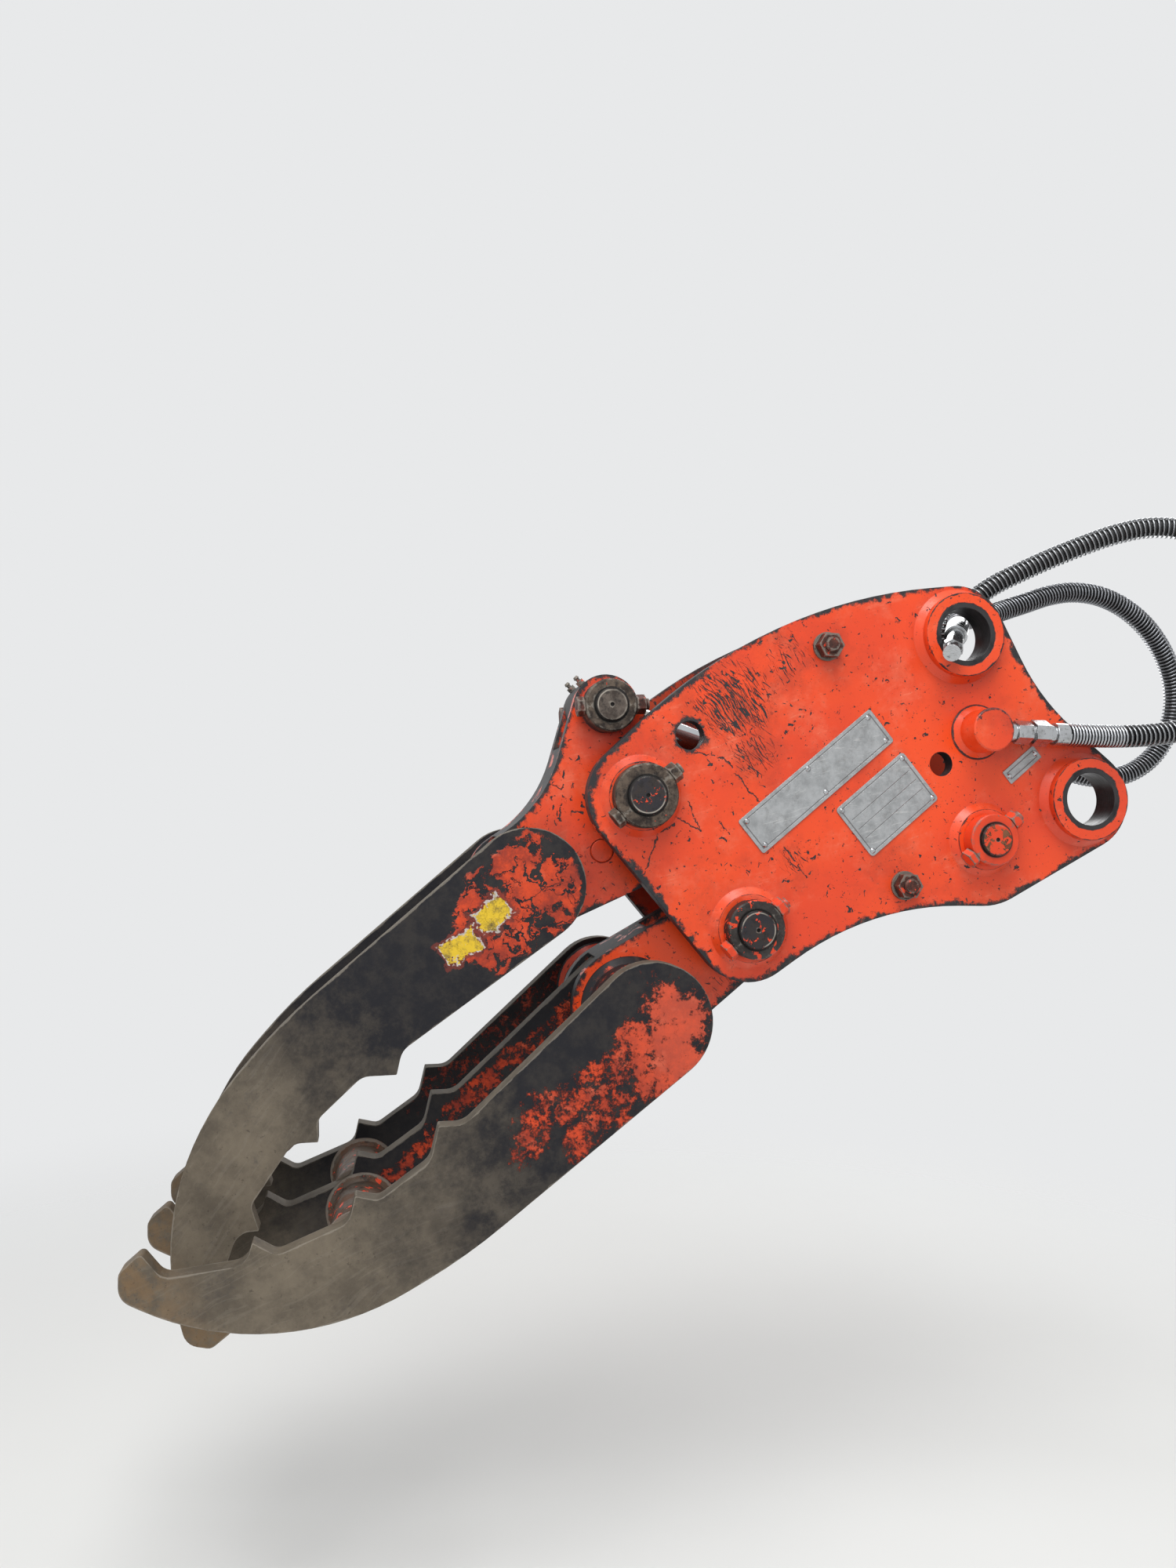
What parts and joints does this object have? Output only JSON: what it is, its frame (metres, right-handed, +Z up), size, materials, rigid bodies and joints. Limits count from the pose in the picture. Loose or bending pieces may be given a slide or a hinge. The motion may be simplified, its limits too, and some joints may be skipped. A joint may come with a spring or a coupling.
{
  "type": "hydraulic grapple",
  "caption": "Excavator demolition grapple with two toothed jaws pinned between side plates, two pin bores for an arm and link, hydraulic ports and whip hoses.",
  "frame": {"origin": "centre of the arm pin bore, midway between the side plates", "axes": "+X from the jaws towards the excavator's pins, +Y from the near side plate to the far one along the pins, +Z up"},
  "size_m": [1.2316, 0.284, 0.8844],
  "materials": {
    "orange_paint": "gloss orange-red enamel over dark primer, chipped at the edges",
    "worn_dark_steel": "dark primer worn through to grey-brown steel towards the tips",
    "bush_steel": "bored steel, greased",
    "pin_steel": "turned steel, scuffed",
    "dark_hardware": "dark oxidised steel with traces of paint",
    "scuffed_aluminium": "thin sheet, scuffed",
    "zinc_plate": "zinc plated",
    "rod_chrome": "hard chromed",
    "black_paint": "black enamel",
    "hose_rubber": "smooth hose cover"
  },
  "bodies": {
    "frame": {"side_plate_near": "orange_paint", "side_plate_far": "orange_paint", "link_pin_bushes": "bush_steel", "arm_pin_bushes": "bush_steel", "upper_pivot_pin": "pin_steel", "upper_pivot_collars": "dark_hardware", "upper_pivot_lock_bolts": "dark_hardware", "lower_pivot_pin": "pin_steel", "lower_pivot_collars": "dark_hardware", "lower_pivot_lock_bolts": "dark_hardware", "base_pin": "pin_steel", "base_pin_collars": "dark_hardware", "base_pin_lock_bolts": "dark_hardware", "tie_bolts": "dark_hardware", "spacer_tubes": "orange_paint", "port_bosses": "orange_paint", "hose_adapters": "zinc_plate", "inner_fittings": "zinc_plate", "name_plate": "scuffed_aluminium", "rating_plate": "scuffed_aluminium", "label_plate": "scuffed_aluminium", "plate_rivets": "scuffed_aluminium", "near_hose": "hose_rubber", "near_hose_guard": "zinc_plate", "near_hose_end": "zinc_plate", "near_hose_plug": "zinc_plate", "far_hose": "hose_rubber", "far_hose_end": "zinc_plate", "far_hose_plug": "zinc_plate"},
    "upper_jaw": {"upper_arm_plates": "orange_paint", "upper_arm_cover": "orange_paint", "upper_tine_near": "worn_dark_steel", "upper_tine_far": "worn_dark_steel", "upper_rear_tube": "orange_paint", "upper_front_tube": "orange_paint", "upper_pivot_bushes": "bush_steel", "rod_pin": "pin_steel", "rod_pin_sleeve": "bush_steel", "rod_pin_collars": "dark_hardware", "rod_pin_lock_bolts": "dark_hardware", "upper_link_pin": "pin_steel", "grease_nipples": "zinc_plate"},
    "lower_jaw": {"lower_arm_plates": "orange_paint", "lower_arm_cover": "orange_paint", "lower_tine_near": "worn_dark_steel", "lower_tine_mid": "worn_dark_steel", "lower_tine_far": "worn_dark_steel", "lower_rear_tube": "orange_paint", "lower_front_tube": "orange_paint", "lower_pivot_bushes": "bush_steel", "lower_link_pin": "pin_steel"},
    "sync_link": {"tie_link": "pin_steel", "tie_link_bush": "bush_steel"},
    "cylinder_barrel_body": {"cylinder_barrel": "black_paint", "cylinder_base_bush": "bush_steel", "cylinder_gland": "zinc_plate", "rod_wiper": "hose_rubber"},
    "cylinder_rod_body": {"piston": "pin_steel", "piston_rod": "rod_chrome"}
  },
  "joints": [
    {"name": "upper_jaw_hinge", "type": "hinge", "parent": "frame", "child": "upper_jaw", "pos_m": [-0.494, 0, -0.014], "axis": [0, 1, 0], "range_deg": [0, 42]},
    {"name": "lower_jaw_hinge", "type": "hinge", "parent": "frame", "child": "lower_jaw", "pos_m": [-0.377, 0, -0.145], "axis": [0, -1, 0], "range_deg": [0, 42]},
    {"name": "sync_link_hinge", "type": "hinge", "parent": "upper_jaw", "child": "sync_link", "pos_m": [-0.52329, 0, -0.07091], "axis": [0, 1, 0], "range_deg": [-42, 0]},
    {"name": "barrel_swing", "type": "hinge", "parent": "frame", "child": "cylinder_barrel_body", "pos_m": [-0.117, 0, -0.047], "axis": [0, 1, 0], "range_deg": [0, 2.65]},
    {"name": "rod_slide", "type": "slide", "parent": "cylinder_barrel_body", "child": "cylinder_rod_body", "axis": [-0.9544, 0, 0.2985], "range_m": [-0.0683, 0]}
  ],
  "couplings": [
    {"joint": "lower_jaw_hinge", "follows": "upper_jaw_hinge", "ratio": 1},
    {"joint": "sync_link_hinge", "follows": "upper_jaw_hinge", "ratio": -1},
    {"joint": "barrel_swing", "follows": "upper_jaw_hinge", "ratio": 0.0629},
    {"joint": "rod_slide", "follows": "upper_jaw_hinge", "m_per_rad": -0.093}
  ]
}
